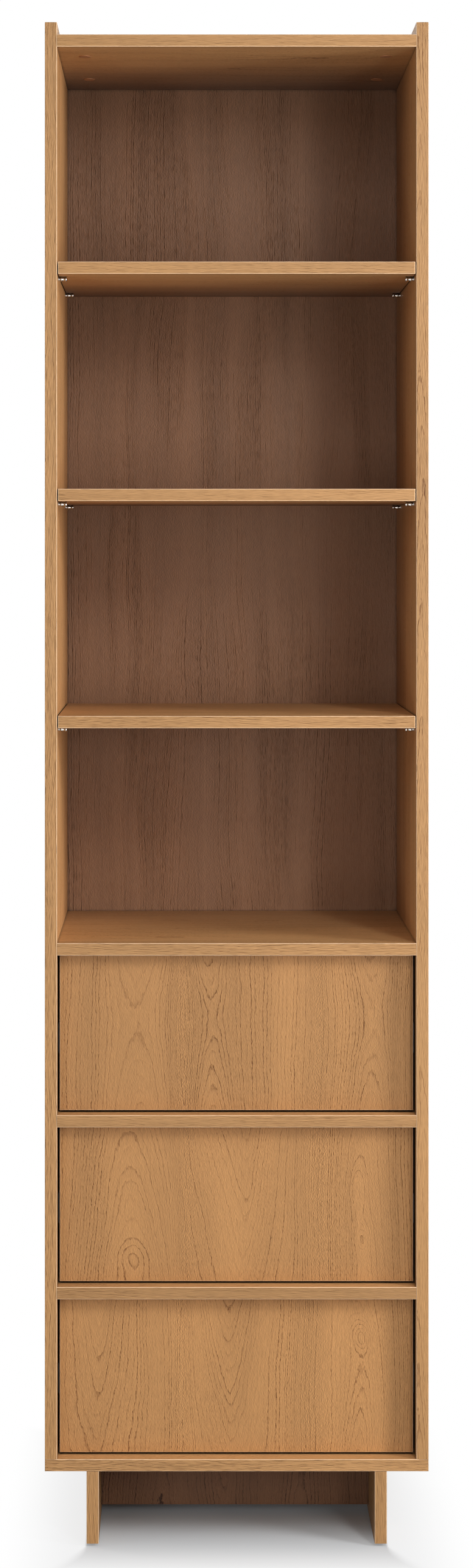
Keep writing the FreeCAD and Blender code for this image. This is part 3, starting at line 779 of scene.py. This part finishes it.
def paint_boards(decors, upright, first_seed):
    """Boards that share the panels' figure, each with its own decor and seed."""
    for i, (node, decor) in enumerate(decors.items()):
        paint(node, oak("oak_" + node, node, upright, PANEL_FIGURE, decor, first_seed + i))


def paint_carcass():
    """Sides, legs and brace with upright grain, and the other boards with grain along their length."""
    paint_boards(UPRIGHT_DECORS, True, UPRIGHT_SEED)
    paint("leg_brace", oak("oak_brace", "leg_brace", True, PANEL_FIGURE, BRACE_DECOR, BRACE_SEED))
    paint_boards(CROSS_DECORS, False, CROSS_SEED)


# Fittings and drawer boxes

SLIDE_BLACK = srgb(16, 17, 19)
SLIDE_GREY = srgb(34, 35, 38)
SLIDE_RUBBED = srgb(92, 94, 98)
SLIDE_CUT = srgb(118, 122, 126)
BEECH_LIGHT = srgb(214, 178, 132)
BEECH_DARK = srgb(168, 122, 80)

# Metals: the light and the dark tone, the roughness, the size of the marks in metres, the seed, and how
# metallic they are
METALS = {
    "screw_black": (srgb(38, 38, 40), srgb(22, 22, 24), 0.42, 0.0005, 12.0, 0.6),
    "zinc_cast": (srgb(176, 178, 180), srgb(140, 142, 146), 0.44, 0.0006, 14.0, 1.0),
    "nickel_plate": (srgb(214, 210, 204), srgb(186, 182, 176), 0.24, 0.0004, 16.0, 1.0),
}

# Plastics: the light and the dark tone, the seed and the roughness
PLASTICS = {
    "cover_cap_plastic": (srgb(176, 122, 82), srgb(160, 108, 70), 18.0, 0.36),
    "glide_plastic": (srgb(150, 150, 152), srgb(126, 126, 128), 20.0, 0.42),
}

# Foils of the drawer boxes: the light and the dark tone, and the seed
FOILS = {
    "drawer_box_foil": (srgb(214, 186, 150), srgb(196, 164, 126), 22.0),
    "drawer_tray_foil": (srgb(206, 178, 142), srgb(188, 158, 122), 24.0),
}

# Sizes of the spots in the fittings' textures, across and along, and the detail and the seeds of their
# noises. The seeds for the clouds of foil and plastic and for stains are added to the material's own.
FOIL_STREAK_SIZE = (0.0012, 0.060)
FOIL_CLOUD_SIZE = (0.030, 0.120)
SLIDE_SPECK_SIZE = (0.0008, 0.0012)
SLIDE_RUB_SIZE = (0.0010, 0.040)
PLASTIC_GRAIN_SIZE = (0.0004, 0.0004)
PLASTIC_CLOUD_SIZE = (0.006, 0.006)
BEECH_FLECK_SIZE = (0.0005, 0.0030)
BEECH_CLOUD_SIZE = (0.004, 0.020)
STAINS_PER_MARK = 12
FINE_DETAIL = 3.0
SOFT_DETAIL = 2.0
SLIDE_SPECK_SEED = 2.0
SLIDE_RUB_SEED = 9.0
BEECH_FLECK_SEED = 6.0
BEECH_CLOUD_SEED = 8.0
FOIL_CLOUD_SEED = 2.0
STAIN_SEED = 4.0
PLASTIC_CLOUD_SEED = 3.0

# How much each texture of the fittings counts in their colour and their gloss
FOIL_CLOUD_SHARE = 0.3
FOIL_ROUGHNESS = 0.48
FOIL_STREAK_ROUGHNESS = 0.08
FOIL_SPECULAR = 0.3
SLIDE_RUB_SHARE = 0.35
SLIDE_CUT_SHARE = 0.75
SLIDE_ROUGHNESS = 0.34
SLIDE_SPECK_ROUGHNESS = 0.16
METAL_MARK_ROUGHNESS = 0.18
PLASTIC_GRAIN_ROUGHNESS = 0.12
PLASTIC_SPECULAR = 0.45
BEECH_FLECK_SHARE = 0.6
BEECH_LEVEL = 0.94
BEECH_CLOUD_TONE = 0.12
BEECH_ROUGHNESS = 0.6
BEECH_SPECULAR = 0.3

# Depth of the fittings' bumps, in metres
FOIL_BUMP = 0.00005
SLIDE_BUMP = 0.00004
METAL_BUMP = 0.00003
PLASTIC_BUMP = 0.00003
BEECH_BUMP = 0.00006

# Smooth steps of the fittings' textures, as for the oak
FOIL_STEP = (0.35, 0.65)
CUT_STEP = (0.6, 0.9)
RUB_STEP = (0.56, 0.74)
STAIN_STEP = (0.35, 0.7)
FLECK_STEP = (0.48, 0.62)


def foil(name):
    """Smooth printed foil with a faint straight grain."""
    light, dark, seed = FOILS[name]
    graph = Paint(name)
    along = graph.add(graph.x, graph.y)
    streaks = graph.noise(graph.z, along, FOIL_STREAK_SIZE, FINE_DETAIL, seed)
    clouds = graph.noise(graph.z, along, FOIL_CLOUD_SIZE, SOFT_DETAIL, seed + FOIL_CLOUD_SEED)
    spots = graph.weighted(0.0, (streaks, 1.0 - FOIL_CLOUD_SHARE), (clouds, FOIL_CLOUD_SHARE))
    colour = graph.mix(graph.smooth(spots, *FOIL_STEP), light, dark)
    roughness = graph.weighted(FOIL_ROUGHNESS, (streaks, FOIL_STREAK_ROUGHNESS))
    return graph.finish(colour, roughness, streaks, FOIL_BUMP, specular=FOIL_SPECULAR)


def slide_steel(name):
    """Black coated steel, greyer on the bare cut ends and along its rubbed edges."""
    graph = Paint(name)
    on_cut = graph.smooth(graph.absolute(graph.normal_y), *CUT_STEP)
    specks = graph.noise(graph.z, graph.y, SLIDE_SPECK_SIZE, FINE_DETAIL, SLIDE_SPECK_SEED)
    rubs = graph.noise(graph.z, graph.y, SLIDE_RUB_SIZE, FINE_DETAIL, SLIDE_RUB_SEED)
    rubs = graph.smooth(rubs, *RUB_STEP)
    colour = graph.mix(specks, SLIDE_BLACK, SLIDE_GREY)
    colour = graph.mix(graph.mul(rubs, SLIDE_RUB_SHARE), colour, SLIDE_RUBBED)
    colour = graph.mix(graph.mul(on_cut, SLIDE_CUT_SHARE), colour, SLIDE_CUT)
    roughness = graph.weighted(SLIDE_ROUGHNESS, (specks, SLIDE_SPECK_ROUGHNESS))
    return graph.finish(colour, roughness, specks, SLIDE_BUMP)


def metal(name):
    """Plated or cast metal with fine turning or casting marks."""
    light, dark, roughness, mark_size, seed, metallic = METALS[name]
    graph = Paint(name)
    across = graph.add(graph.x, graph.z)
    stain_size = mark_size * STAINS_PER_MARK
    marks = graph.noise(across, graph.y, (mark_size, mark_size), FINE_DETAIL, seed)
    stains = graph.noise(across, graph.y, (stain_size, stain_size), SOFT_DETAIL, seed + STAIN_SEED)
    colour = graph.mix(graph.smooth(stains, *STAIN_STEP), light, dark)
    roughness = graph.weighted(roughness, (graph.add(marks, -0.5), METAL_MARK_ROUGHNESS))
    return graph.finish(colour, roughness, marks, METAL_BUMP, metallic=metallic)


def plastic(name):
    """Moulded plastic with a fine spark-eroded texture."""
    light, dark, seed, roughness = PLASTICS[name]
    graph = Paint(name)
    across = graph.add(graph.x, graph.z)
    texture = graph.noise(across, graph.y, PLASTIC_GRAIN_SIZE, FINE_DETAIL, seed)
    clouds = graph.noise(across, graph.y, PLASTIC_CLOUD_SIZE, SOFT_DETAIL, seed + PLASTIC_CLOUD_SEED)
    colour = graph.mix(clouds, light, dark)
    roughness = graph.weighted(roughness, (texture, PLASTIC_GRAIN_ROUGHNESS))
    return graph.finish(colour, roughness, texture, PLASTIC_BUMP, specular=PLASTIC_SPECULAR)


def beech(name):
    """Turned beech with short flecks."""
    graph = Paint(name)
    across = graph.add(graph.y, graph.z)
    flecks = graph.noise(across, graph.x, BEECH_FLECK_SIZE, SOFT_DETAIL, BEECH_FLECK_SEED)
    flecks = graph.smooth(flecks, *FLECK_STEP)
    clouds = graph.noise(across, graph.x, BEECH_CLOUD_SIZE, SOFT_DETAIL, BEECH_CLOUD_SEED)
    colour = graph.mix(graph.mul(flecks, BEECH_FLECK_SHARE), BEECH_LIGHT, BEECH_DARK)
    colour = graph.shade(colour, graph.weighted(BEECH_LEVEL, (clouds, BEECH_CLOUD_TONE)))
    return graph.finish(colour, BEECH_ROUGHNESS, flecks, BEECH_BUMP, specular=BEECH_SPECULAR)


def paint_fittings():
    """Slides, screws, cams, pins, caps, glides and dowels, and the boards of the drawer boxes."""
    steel = slide_steel("slide_steel")
    zinc = metal("zinc_cast")
    box_foil = foil("drawer_box_foil")
    fixed = {
        "shelf_pins": metal("nickel_plate"), "cam_housings": zinc, "cam_bolts": zinc,
        "cam_cover_caps": plastic("cover_cap_plastic"), "dowels": beech("beech_dowel"),
        "leg_glides": plastic("glide_plastic"),
    }
    for node, material in fixed.items():
        paint(node, material)
    starts = {
        "slide_cabinet_": steel, "slide_middle_": steel, "slide_drawer_": steel, "drawer_side_": box_foil,
        "drawer_back_": box_foil, "drawer_bottom_": foil("drawer_tray_foil"), "drawer_cam_locks_": zinc,
        "slide_screws_": metal("screw_black"),
    }
    for node in nodes:
        for start, material in starts.items():
            if node.startswith(start):
                paint(node, material)


# Floor

# In metres and as shares. The paint is what throws light back at the object. What is seen of the floor is a
# paler tone, which turns white before the legs and, across a spreading line and then slowly, beside them.
FLOOR_REACH = 6.0
FLOOR_SEGMENTS = 24
FLOOR_PAINT = (0.42, 0.42, 0.42, 1.0)
FLOOR_SEEN = (0.57, 0.59, 0.61, 1.0)
FLOOR_FADE_START = -0.090
FLOOR_FADE_END = 0.160
FLOOR_LINE_WIDTH = 0.003
FLOOR_LINE_SPREAD = 0.60
FLOOR_BESIDE_SHARE = 0.79
FLOOR_BESIDE_REACH = 0.120
FLOOR_LINE_STEP = (-1.0, 1.0, 0.0, FLOOR_BESIDE_SHARE)
FLOOR_BESIDE_STEP = (0.0, FLOOR_BESIDE_REACH, 0.0, 1.0 - FLOOR_BESIDE_SHARE)


def floor_white_share(graph):
    """How white the floor is seen, from its shadow under the object to the open floor round it."""
    leg_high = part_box("leg_right")[1]
    beyond_x = graph.sub(graph.absolute(graph.x), leg_high.x)
    beyond_y = graph.sub(graph.absolute(graph.y), leg_high.y)
    before_legs = graph.smooth(beyond_y, FLOOR_FADE_START, FLOOR_FADE_END)
    line_width = graph.weighted(FLOOR_LINE_WIDTH, (graph.greater(beyond_y, 0.0), FLOOR_LINE_SPREAD))
    beside_line = graph.smooth(graph.math("DIVIDE", beyond_x, line_width), *FLOOR_LINE_STEP)
    far_beside = graph.smooth(beyond_x, *FLOOR_BESIDE_STEP)
    return graph.greater(before_legs, graph.add(beside_line, far_beside))


def add_floor():
    """Plain pale floor. It is seen white away from the object, and with the object's shadow near it."""
    mesh = bpy.data.meshes.new("floor")
    builder = bmesh.new()
    bmesh.ops.create_grid(builder, x_segments=FLOOR_SEGMENTS, y_segments=FLOOR_SEGMENTS, size=FLOOR_REACH)
    builder.to_mesh(mesh)
    builder.free()
    floor = bpy.data.objects.new("floor", mesh)
    bpy.context.scene.collection.objects.link(floor)
    graph = Paint("floor_paint")
    seen = graph.seen()
    matt = graph.new("ShaderNodeBsdfDiffuse")
    graph.put(matt.inputs["Color"], graph.mix(seen, FLOOR_PAINT, FLOOR_SEEN))
    white = graph.new("ShaderNodeEmission")
    blend = graph.new("ShaderNodeMixShader")
    graph.put(blend.inputs[0], graph.mul(seen, floor_white_share(graph)))
    graph.put(blend.inputs[1], matt.outputs[0])
    graph.put(blend.inputs[2], white.outputs[0])
    output = graph.new("ShaderNodeOutputMaterial")
    graph.put(output.inputs["Surface"], blend.outputs[0])
    mesh.materials.append(graph.material)


bpy.context.scene.view_settings.view_transform = "Standard"
add_camera()
add_lamps()
add_world()
add_floor()
paint_drawer_fronts()
paint_back()
paint_carcass()
paint_fittings()
